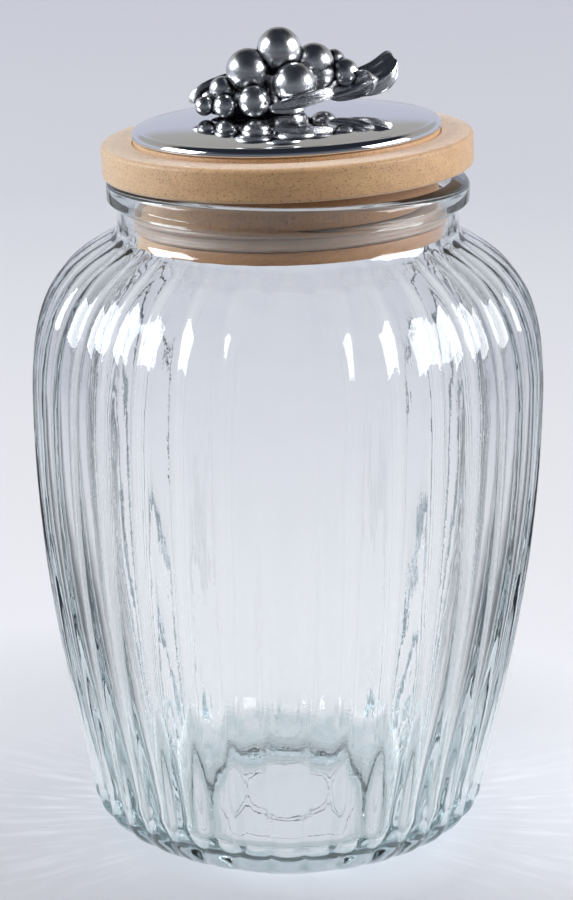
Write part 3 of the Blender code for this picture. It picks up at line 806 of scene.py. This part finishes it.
def jar_mesh(look):
    """The jar with panels outside, softer ones inside, beads round its foot, and values for its finish."""
    outside, inside = jar_outside(), jar_inside(look)
    columns = look.panel_count * COLUMNS_PER_PANEL
    points = turned_points(outside[:-1] + inside, columns)
    angles = np.linspace(0.0, 2 * math.pi, columns, endpoint=False)[None, :]
    heights = points[:, :, 2]
    radii = np.hypot(points[:, :, 0], points[:, :, 1])
    outer = np.arange(len(points)) < len(outside) - 1
    outer = outer[:, None] & (radii > RING_RADIUS - 0.7 * MM)
    inside_wall = heights > FLOOR_HEIGHT + 0.5 * MM

    share = panel_share(heights)
    from_valley = 1 - np.abs(((look.panel_count * angles / math.pi + 1) % 2) - 1)
    bead = np.clip(1 - np.abs(heights - RING_STEP / 2) / (0.5 * RING_STEP), 0, 1) * (np.arange(columns) % 2)
    sink = outer_sink(look, angles, heights, share, from_valley) - look.bead_height * bead
    drawn_in = inner_sink(look, angles, heights, share, from_valley)
    change = np.where(outer, -sink, np.where(inside_wall, -drawn_in, 0.0))
    factor = (radii + change) / np.maximum(radii, 1e-9)
    points[:, :, 0] *= factor
    points[:, :, 1] *= factor
    mesh = grid_mesh(points, poles=((0, 0, PUSH_UP), (0, 0, FLOOR_HEIGHT)))

    valley = np.where(outer, share * np.exp(-((from_valley / 0.3) ** 2)), 0.0)
    heel = np.clip(((CHILLED_HEIGHT + CHILLED_VALLEY * valley) * MM - heights) / CHILLED_FADE, 0, 1)
    heel *= np.where(heights > RING_STEP * 1.1, 1.0, 0.1 + 0.8 * bead)
    heel = np.where(outer, np.maximum(heel, CHILLED_RIM * (heights > RIM_FOOT)), 0.0)
    for name, values in (("valley", valley), ("heel", heel)):
        layer = mesh.attributes.new(name, "FLOAT", "POINT")
        layer.data.foreach_set("value", np.append(values.ravel(), (0.0, 0.0)).astype(np.float32))
    return mesh


# Lid


def plate_mesh():
    """The plate with rounded edges and a low seat, whose foot is cut a little into the plate."""
    flat, top, seat_top = PLATE_RADIUS - PLATE_ROUND, PLATE_THICKNESS, PLATE_THICKNESS + SEAT_HEIGHT
    profile = [(HOLE_RADIUS, 0.0), (0.5 * flat, 0.0)]
    profile += quarter_round((flat, 0.0), (PLATE_RADIUS, 0.0), (PLATE_RADIUS, PLATE_ROUND))
    profile += [(PLATE_RADIUS, 0.5 * top)]
    profile += quarter_round((PLATE_RADIUS, top - PLATE_ROUND), (PLATE_RADIUS, top), (flat, top))
    profile += [(0.5 * (flat + SEAT_RADIUS), top)]
    foot = 0.4 * MM
    profile += [(SEAT_RADIUS + 1.5 * foot, top), (SEAT_RADIUS + foot, top - foot), (SEAT_RADIUS, top - foot)]
    edge = (SEAT_RADIUS, seat_top)
    profile += quarter_round((SEAT_RADIUS, seat_top - foot), edge, (SEAT_RADIUS - foot, seat_top), 3)
    profile += [(0.5 * SEAT_RADIUS, seat_top), (HOLE_RADIUS, seat_top)]
    return turned_ring(profile)


def plug_mesh():
    """The plug with its groove, its flange and the counterbore for the screw's head."""
    corners = [
        (HOLE_RADIUS, -GAP),
        (PLUG_RADIUS, -GAP),
        (PLUG_RADIUS, GROOVE_TOP),
        (GROOVE_RADIUS, GROOVE_TOP),
        (GROOVE_RADIUS, FLANGE_TOP),
        (FLANGE_RADIUS, FLANGE_TOP),
        (FLANGE_RADIUS, -PLUG_LENGTH),
        (COUNTERBORE_RADIUS, -PLUG_LENGTH),
        (COUNTERBORE_RADIUS, SCREW_SEAT),
        (HOLE_RADIUS, SCREW_SEAT),
    ]
    return turned_ring(rounded(corners, PLUG_ROUND))


def gasket_mesh(look):
    """The ring in the plug's groove, with two lips and a waist between them."""
    inner, waist = GROOVE_RADIUS + GAP, GASKET_RADIUS - look.lip
    low = FLANGE_TOP + GAP
    height = GROOVE_TOP - GAP - low
    corners = [
        (inner, low),
        (waist, low),
        (GASKET_RADIUS, low + 0.10 * height),
        (GASKET_RADIUS, low + 0.24 * height),
        (waist, low + 0.36 * height),
        (waist, low + 0.64 * height),
        (GASKET_RADIUS, low + 0.76 * height),
        (GASKET_RADIUS, low + 0.90 * height),
        (GASKET_RADIUS - 0.3 * look.lip, low + height),
        (inner, low + height),
    ]
    return turned_ring(rounded(corners, GASKET_ROUND))


def dome_rise(share):
    """How far the disc's dome stands over its rolled edge, by the share of its radius."""
    return DISC_DOME * (1 - 0.55 * share**2 - 0.45 * share**6)


def disc_mesh():
    """The domed disc, whose edge rolls over from the dome down to the wood."""
    low = DISC_UNDERSIDE
    top = low + DISC_THICKNESS
    under = 0.5 * MM
    dome_radius = DISC_RADIUS - DISC_ROLL
    profile = [(HOLE_RADIUS, low), (0.5 * DISC_RADIUS, low)]
    profile += quarter_round((DISC_RADIUS - under, low), (DISC_RADIUS, low), (DISC_RADIUS, low + under), 5)
    profile += quarter_round((DISC_RADIUS, low + 0.6 * MM), (DISC_RADIUS, top), (dome_radius, top), 14)
    for share in np.linspace(0.985, HOLE_RADIUS / dome_radius, 24):
        profile.append((share * dome_radius, top + dome_rise(share)))
    return turned_ring(profile, 256)


def ball_points(centre, radii, seed, dent=0.0, rows=36, columns=56):
    """Rows of points over an ellipsoid, gently dented, and its two poles."""
    lift = np.linspace(-math.pi / 2, math.pi / 2, rows + 2)[1:-1][:, None]
    turn = np.linspace(0.0, 2 * math.pi, columns, endpoint=False)[None, :]
    ways = [np.cos(lift) * np.cos(turn), np.cos(lift) * np.sin(turn), np.sin(lift) + 0 * turn]
    ways = np.concatenate([np.stack(ways, axis=-1).reshape(-1, 3), [(0, 0, -1), (0, 0, 1)]])
    random = np.random.default_rng(seed)
    size = np.ones(len(ways))
    for _ in range(10):
        axis = random.normal(size=3)
        size += dent / 3 * np.sin(ways @ axis * random.uniform(2.0, 4.0) + random.uniform(0, 6.3))
    points = np.array(centre) + ways * size[:, None] * np.array(radii)
    return points[:-2].reshape(rows, columns, 3), points[-2], points[-1], np.zeros(len(points))


def leaf_points(spine, across, half_widths, cup, veins, crease=0.0, ridge=0.0, steps=56, around=56):
    """Rows of points round a thick curved leaf, its two end points, and each point's share of a groove."""
    root, middle, tip = (np.array(point, float) for point in spine)
    across = np.array(across, float)
    across /= np.linalg.norm(across)
    handle = 2 * middle - (root + tip) / 2
    turn = np.linspace(0.0, 2 * math.pi, around, endpoint=False)
    share = -np.cos(turn)
    side = np.sign(np.sin(turn)) * np.abs(np.sin(turn)) ** 0.55
    off_ridge = np.abs(share - ridge) / (1 + abs(ridge))
    rows, grooves = [], []
    for t in (1 - np.cos(np.linspace(0.0, math.pi, steps + 2)[1:-1])) / 2:
        shares = ((1 - t) ** 2, 2 * t * (1 - t), t * t)
        centre = shares[0] * root + shares[1] * handle + shares[2] * tip
        along = (1 - t) * (handle - root) + t * (tip - handle)
        out = np.cross(along / np.linalg.norm(along), across)
        out /= np.linalg.norm(out)
        half = sum(s * w for s, w in zip(shares, half_widths))
        end = math.sqrt(1 - 0.995 * (2 * t - 1) ** 6)
        rise = cup * ((1 - crease) * off_ridge**2 + crease * (2 * off_ridge - off_ridge**2))
        thinning = math.sqrt(1 - 0.9 * (2 * t - 1) ** 12)
        depth = LEAF_THICKNESS / 2 * (1 - (1 - LEAF_EDGE_SHARE) * share**2) * thinning
        vein = np.abs(np.sin(veins * math.pi * (share + 1) / 2 + 0.4 * math.sin(5 * t)))
        groove = (1 - vein) ** 2 * (side > 0) * min(1.0, 4 * t, 4 * (1 - t))
        rim = np.exp(-(((1 - np.abs(share)) / 0.12) ** 2)) * (side > 0)
        height = rise + side * depth - LEAF_VEIN_DEPTH * groove + LEAF_RIM_HEIGHT * rim
        rows.append(centre + across * (half * end * share)[:, None] + out * height[:, None])
        grooves.append(groove)
    rows = np.array(rows)
    ends = rows[0].mean(axis=0), rows[-1].mean(axis=0)
    return rows, *ends, np.append(np.array(grooves).ravel(), (0.0, 0.0))


def recess_share(points, reach, skip):
    """How near each point is to a neighbouring ball, from 0 in the open to 1 where they touch."""
    share = np.zeros(len(points))
    balls = {name: ((x, y, z), (r, r, r)) for name, (x, y, z, r) in GRAPES.items()} | CORES
    for name, (centre, radii) in balls.items():
        if name == skip:
            continue
        away = (points - np.array(centre)) / np.array(radii)
        gap = (np.linalg.norm(away, axis=1) - 1) * min(radii)
        share = np.maximum(share, np.clip(1 - gap / reach, 0, 1))
    return share


def knob_shells():
    """The casting's cores, grapes and leaves in millimetres, each with its name."""
    shells = []
    for number, (name, (centre, radii)) in enumerate(CORES.items()):
        shells.append((name, ball_points(centre, radii, number)))
    for number, (name, (x, y, z, radius)) in enumerate(GRAPES.items(), FIRST_GRAPE_SEED):
        shells.append((name, ball_points((x, y, z), (radius,) * 3, number, GRAPE_DENT)))
    for name, sizes in LEAVES.items():
        shells.append((name, leaf_points(**sizes)))
    return shells


def knob_foot():
    """The casting's round foot on the disc, with the blind bore for the screw."""
    low, high, bore_end = FOOT_UNDERSIDE, FOOT_UNDERSIDE + FOOT_HEIGHT, FOOT_UNDERSIDE + FOOT_BORE_DEPTH
    bevel, near_axis = 0.6 * MM, 0.05 * MM
    profile = [(FOOT_BORE, low), (FOOT_RADIUS - bevel, low), (FOOT_RADIUS, low + bevel)]
    profile += [(FOOT_RADIUS, high), (0.5 * FOOT_RADIUS, high), (near_axis, high)]
    profile += [(near_axis, bore_end), (FOOT_BORE, bore_end)]
    return turned_ring(profile, 64)


def knob_mesh(look):
    """The casting's shells, kept above the disc and joined with the foot, with a recess value per point."""
    dome_radius = (DISC_RADIUS - DISC_ROLL) / MM
    edge_top = (DISC_UNDERSIDE + DISC_THICKNESS - FOOT_UNDERSIDE) / MM
    bm = bmesh.new()
    layer = bm.verts.layers.float.new("recess")
    for name, (points, first, last, grooves) in knob_shells():
        every = np.concatenate([points.reshape(-1, 3), [first, last]])
        floor = edge_top + dome_rise(np.hypot(every[:, 0], every[:, 1]) / dome_radius) / MM + 0.2
        every[:, 2] = np.maximum(every[:, 2], floor)
        shell = grid_mesh(every[:-2].reshape(points.shape), poles=(every[-2], every[-1]))
        count = len(bm.verts)
        bm.from_mesh(shell)
        bm.verts.ensure_lookup_table()
        corners = np.array([vertex.co for vertex in bm.verts[count:]])
        shares = recess_share(corners, look.recess / MM, name)
        for vertex, share, groove in zip(bm.verts[count:], shares, grooves):
            # The base core is wholly dark, as patina and as painted contact shade on the disc
            vertex[layer] = 1.0 if name == "base_core" else max(share, 0.9 * groove)
        bpy.data.meshes.remove(shell)
    bmesh.ops.scale(bm, vec=(MM, MM, MM), verts=bm.verts)
    bmesh.ops.translate(bm, vec=(0, 0, FOOT_UNDERSIDE), verts=bm.verts)
    foot = knob_foot()
    bm.from_mesh(foot)
    bpy.data.meshes.remove(foot)
    mesh = bpy.data.meshes.new("knob")
    bm.to_mesh(mesh)
    bm.free()
    return mesh


# Operators


class CANISTER_OT_jar(bpy.types.Operator):
    """Press the glass jar with its panels, thick base and flared rim"""

    bl_idname = "canister.jar"
    bl_label = "Glass jar"

    def execute(self, context):
        look = context.scene.canister_jar
        mesh, finish = jar_mesh(look), glass_finish(look)
        jar = piece("jar_glass", mesh, finish, "jar", "glass_jar", sharp=50.0)
        jar.visible_shadow = False
        return {"FINISHED"}


class CANISTER_OT_wood(bpy.types.Operator):
    """Turn the wooden plate and the plug under it"""

    bl_idname = "canister.wood"
    bl_label = "Wooden plate and plug"

    def execute(self, context):
        look = context.scene.canister_wood
        lid_piece("plate_wood", plate_mesh(), wood_finish(look), "lid_plate")
        # The plug's wood is the plate's with painted shade
        plug_wood = wood_finish(look, "plug_beech_painted_shade", 0.07, PLUG_SHADE)
        lid_piece("plug_wood", plug_mesh(), plug_wood, "lid_plug")
        return {"FINISHED"}


class CANISTER_OT_gasket(bpy.types.Operator):
    """Mould the silicone ring in the plug's groove"""

    bl_idname = "canister.gasket"
    bl_label = "Gasket"

    def execute(self, context):
        look = context.scene.canister_gasket
        mesh, finish = gasket_mesh(look), silicone_finish(look)
        lid_piece("gasket_ring", mesh, finish, "plug_gasket", body="gasket")
        return {"FINISHED"}


class CANISTER_OT_disc(bpy.types.Operator):
    """Polish the domed metal disc on the plate"""

    bl_idname = "canister.disc"
    bl_label = "Metal disc"

    def execute(self, context):
        finish = polished_finish(context.scene.canister_metal)
        lid_piece("disc_polished", disc_mesh(), finish, "lid_disc")
        return {"FINISHED"}


class CANISTER_OT_knob(bpy.types.Operator):
    """Cast the knob of grapes and leaves"""

    bl_idname = "canister.knob"
    bl_label = "Grape knob"

    def execute(self, context):
        look = context.scene.canister_metal
        lid_piece("knob_cast", knob_mesh(look), cast_finish(look), "grape_knob")
        return {"FINISHED"}


class CANISTER_OT_fasteners(bpy.types.Operator):
    """Give the screw and its washer their steel"""

    bl_idname = "canister.fasteners"
    bl_label = "Screw and washer"

    def execute(self, context):
        steel = steel_finish(context.scene.canister_metal)
        for name in ("knob_screw", "screw_washer"):
            slots = frame["nodes"][name].data.materials
            slots.clear()
            slots.append(steel)
        return {"FINISHED"}


def floor_painted_light_and_shade(finish, look, right, back, away, aside):
    """The floor's colour: painted shade close to the jar, painted light round its foot and a painted shadow
    on its left; pale round it, paler far off and beyond the lamps as painted light, and darker under the
    lamps as painted shade.
    """
    # Painted shade near the jar, reaching further on the left and in front
    skew = finish.total(finish.product(right, 0.22), finish.product(back, 0.25))
    near = finish.span(finish.total(away, skew), 0.08, 0.25)
    # Painted light right round the jar's foot
    painted_light_edge = scaled(look.floor_painted_shade, 1.22)
    close = finish.mix(finish.span(away, 0.062, 0.080), painted_light_edge, tuple(look.floor_painted_shade))
    # Painted shadow on the jar's left
    shadow = finish.product(finish.span(right, 0.0, -0.09), finish.span(away, 0.12, 0.085))
    close = finish.mix(shadow, close, scaled(look.floor_painted_shade, 0.96))
    colour = finish.mix(near, close, tuple(look.floor_light))
    # Paler with distance, painted light against the lamps' falloff
    colour = finish.mix(finish.span(away, 0.5, 1.1), colour, FLOOR_MIDDLE)
    colour = finish.mix(finish.span(away, 1.2, 2.4), colour, tuple(look.floor_far_painted_light))
    # Painted shade where the lamps light the floor most
    between = finish.span(finish.math("ABSOLUTE", back), 2.0, 0.6)
    painted_shade_by_lamps = finish.product(finish.span(aside, 0.32, 1.5), between)
    colour = finish.mix(painted_shade_by_lamps, colour, FLOOR_PAINTED_SHADE_BY_LAMPS)
    # Painted light beyond the lamps, where they light nothing
    return finish.mix(finish.span(aside, 2.18, 2.50), colour, tuple(look.floor_far_painted_light))


def painted_caustics(finish, back, away, aside):
    """Painted pale streaks of caustic light that fan out beside the jar's foot."""
    turn = finish.math("ARCTAN2", back, aside)
    fan = finish.node("CombineXYZ", {"X": turn, "Y": finish.product(away, 1.5)}).outputs["Vector"]
    return finish.product(
        finish.span(finish.noise(fan, 24.0, 3.0), 0.48, 0.66),
        finish.span(away, 0.052, 0.070),
        finish.span(away, 0.145, 0.085),
        finish.span(finish.math("ABSOLUTE", turn), 0.85, 0.35),
        0.16,
    )


def floor_painted_dark(finish, path, back, aside):
    """Where the floor is painted dark for all but the camera: a painted dark reflection for metal and glass,
    and painted shade for bounced light; in front, and in a band on each side.
    """
    through = path.outputs["Is Transmission Ray"]
    bent = finish.math("MAXIMUM", through, path.outputs["Is Glossy Ray"])
    front = finish.product(finish.span(back, -0.10, -0.40), finish.span(through, 0.0, 1.0, 1.0, 0.2))
    reach = finish.math("SUBTRACT", aside, finish.product(back, 0.45))
    band = finish.product(finish.span(reach, 0.105, 0.15), finish.span(reach, 0.20, 0.32, 1.0, 0.15))
    side = finish.product(band, finish.span(back, -0.06, 0.04), bent)
    unseen = finish.math("SUBTRACT", 1.0, path.outputs["Is Camera Ray"])
    return finish.product(finish.math("MAXIMUM", front, side), unseen)


def floor_finish(look):
    """A pale floor, with painted shade close to the jar and other painted light and shade, and a painted
    glow of its own for rays through the glass.
    """
    finish = Finish("studio_floor")
    here = finish.node("SeparateXYZ", {"Vector": finish.place()})
    right, back = here.outputs["X"], here.outputs["Y"]
    away = finish.node("VectorMath", {0: finish.place((1, 1, 0))}, operation="LENGTH").outputs["Value"]
    aside = finish.math("ABSOLUTE", right)
    path = finish.node("LightPath")
    painted_dark = floor_painted_dark(finish, path, back, aside)

    colour = floor_painted_light_and_shade(finish, look, right, back, away, aside)
    colour = finish.mix(painted_caustics(finish, back, away, aside), colour, PAINTED_CAUSTIC_LIGHT)
    mottle = finish.noise(finish.place(), 6.0, 3.0)
    colour = finish.mix(finish.span(mottle, 0.3, 0.7, 0.0, 0.03), colour, FLOOR_MOTTLE)
    # Painted dark for all but the camera
    colour = finish.mix(painted_dark, colour, tuple(look.floor_painted_dark))
    roughness = finish.span(mottle, 0.3, 0.7, 0.7, 0.8)
    finish.surface(Base_Color=colour, Roughness=roughness, Specular_IOR_Level=0.15)

    # Painted glow: rays through the glass meet the floor mostly as light of its own
    glow = finish.mix(finish.span(away, 0.13, 0.95), THROUGH_NEAR, THROUGH_FAR)
    glow = finish.mix(finish.span(away, 0.045, 0.10), THROUGH_UNDER, glow)
    # Painted shade under the jar's ring
    ring = finish.product(finish.span(away, 0.034, 0.040), finish.span(away, 0.056, 0.048))
    glow = finish.mix(ring, glow, THROUGH_RING_SHADE)
    glow = finish.mix(painted_dark, glow, tuple(look.floor_painted_dark))
    glow = finish.node("Emission", {"Color": glow}).outputs["Emission"]
    share = finish.product(path.outputs["Is Transmission Ray"], 0.85)
    both = finish.node("MixShader", {0: share, 1: finish.shader.outputs["BSDF"], 2: glow}).outputs["Shader"]
    finish.put(finish.output.inputs["Surface"], both)
    return finish.material


def studio_world():
    """A pale backdrop low down, a warm wall above it and a dark ceiling; plain for the camera."""
    world = bpy.data.worlds.new("studio")
    bpy.context.scene.world = world
    world.use_nodes = True
    world.node_tree.nodes.clear()
    nodes = Nodes(world.node_tree)
    split = nodes.node("SeparateXYZ", {"Vector": nodes.node("TexCoord").outputs["Generated"]})
    ahead, upward = split.outputs["Y"], split.outputs["Z"]
    path = nodes.node("LightPath")

    metal_front, metal_back, glass_sides, glass_back = (
        nodes.ramp(upward, *stops) for stops in (METAL_FRONT, METAL_BACK, GLASS_SIDES, GLASS_BACK)
    )
    in_metal = nodes.mix(nodes.span(ahead, -0.45, 0.15), metal_front, metal_back)
    in_glass = nodes.mix(nodes.span(ahead, 0.45, 0.80), glass_sides, glass_back)
    fill = nodes.mix(nodes.span(ahead, -0.75, 0.25), FILL_FRONT, FILL_BACK)
    seen = nodes.mix(path.outputs["Is Transmission Ray"], in_metal, in_glass)
    seen = nodes.mix(path.outputs["Is Camera Ray"], seen, nodes.ramp(upward, *CAMERA_SKY))
    scattered = nodes.math("GREATER_THAN", path.outputs["Diffuse Depth"], 0.5)
    background = nodes.node("Background", {"Color": nodes.mix(scattered, seen, fill), "Strength": 1.0})
    nodes.node("OutputWorld", {"Surface": background.outputs["Background"]})


def softbox(name, power):
    """A large soft lamp beside the jar, lifted from the floor and aimed at it."""
    turn, width, share, colour = SOFTBOXES[name]
    turn, lift = math.radians(turn), SOFTBOX_LIFT
    lamp = bpy.data.lights.new(name, "AREA")
    lamp.shape = "RECTANGLE"
    lamp.size, lamp.size_y = width, SOFTBOX_HEIGHT
    lamp.energy = share * power
    lamp.color = colour
    obj = bpy.data.objects.new(name, lamp)
    way = Vector((math.sin(turn) * math.cos(lift), -math.cos(turn) * math.cos(lift), math.sin(lift)))
    obj.location = SOFTBOX_TARGET + SOFTBOX_DISTANCE * way
    obj.rotation_euler = way.to_track_quat("Z", "Y").to_euler()
    obj.visible_camera = False
    bpy.context.scene.collection.objects.link(obj)


class CANISTER_OT_stage(bpy.types.Operator):
    """Set up the floor, the lamps, the studio round them and the camera"""

    bl_idname = "canister.stage"
    bl_label = "Stage"

    def execute(self, context):
        look = context.scene.canister_stage
        scene = context.scene
        mesh = bpy.data.meshes.new("floor")
        mesh.from_pydata(FLOOR_CORNERS, [], [(0, 1, 2, 3)])
        mesh.materials.append(floor_finish(look))
        floor = bpy.data.objects.new("floor", mesh)
        scene.collection.objects.link(floor)

        studio_world()
        for name in SOFTBOXES:
            softbox(name, look.lamp_power)

        camera = bpy.data.cameras.new("camera")
        camera.lens = 100.0
        camera.sensor_width = 36.0
        camera.clip_end = 50.0
        holder = bpy.data.objects.new("camera", camera)
        holder.location = CAMERA_PLACE
        holder.rotation_euler = CAMERA_TURN
        scene.collection.objects.link(holder)
        scene.camera = holder
        scene.view_settings.view_transform = "Standard"
        return {"FINISHED"}


class CANISTER_PT_panel(bpy.types.Panel):
    """The canister's pieces, in the order in which they are made"""

    bl_idname = "CANISTER_PT_panel"
    bl_label = "Glass canister"
    bl_space_type = "VIEW_3D"
    bl_region_type = "UI"
    bl_category = "Canister"

    def draw(self, context):
        for step in STEPS:
            self.layout.operator(step.bl_idname)


STEPS = (
    CANISTER_OT_stage,
    CANISTER_OT_jar,
    CANISTER_OT_wood,
    CANISTER_OT_gasket,
    CANISTER_OT_disc,
    CANISTER_OT_knob,
    CANISTER_OT_fasteners,
)
LOOKS = {
    "canister_jar": JarLook,
    "canister_wood": WoodLook,
    "canister_gasket": GasketLook,
    "canister_metal": MetalLook,
    "canister_stage": StageLook,
}


def register():
    for kind in (*LOOKS.values(), *STEPS, CANISTER_PT_panel):
        bpy.utils.register_class(kind)
    for name, kind in LOOKS.items():
        setattr(bpy.types.Scene, name, bpy.props.PointerProperty(type=kind))


def unregister():
    for name in LOOKS:
        delattr(bpy.types.Scene, name)
    for kind in (CANISTER_PT_panel, *reversed(STEPS), *reversed(LOOKS.values())):
        bpy.utils.unregister_class(kind)


def main():
    register()
    for step in STEPS:
        getattr(bpy.ops.canister, step.bl_idname.split(".")[1])()


if __name__ == "__main__":
    main()
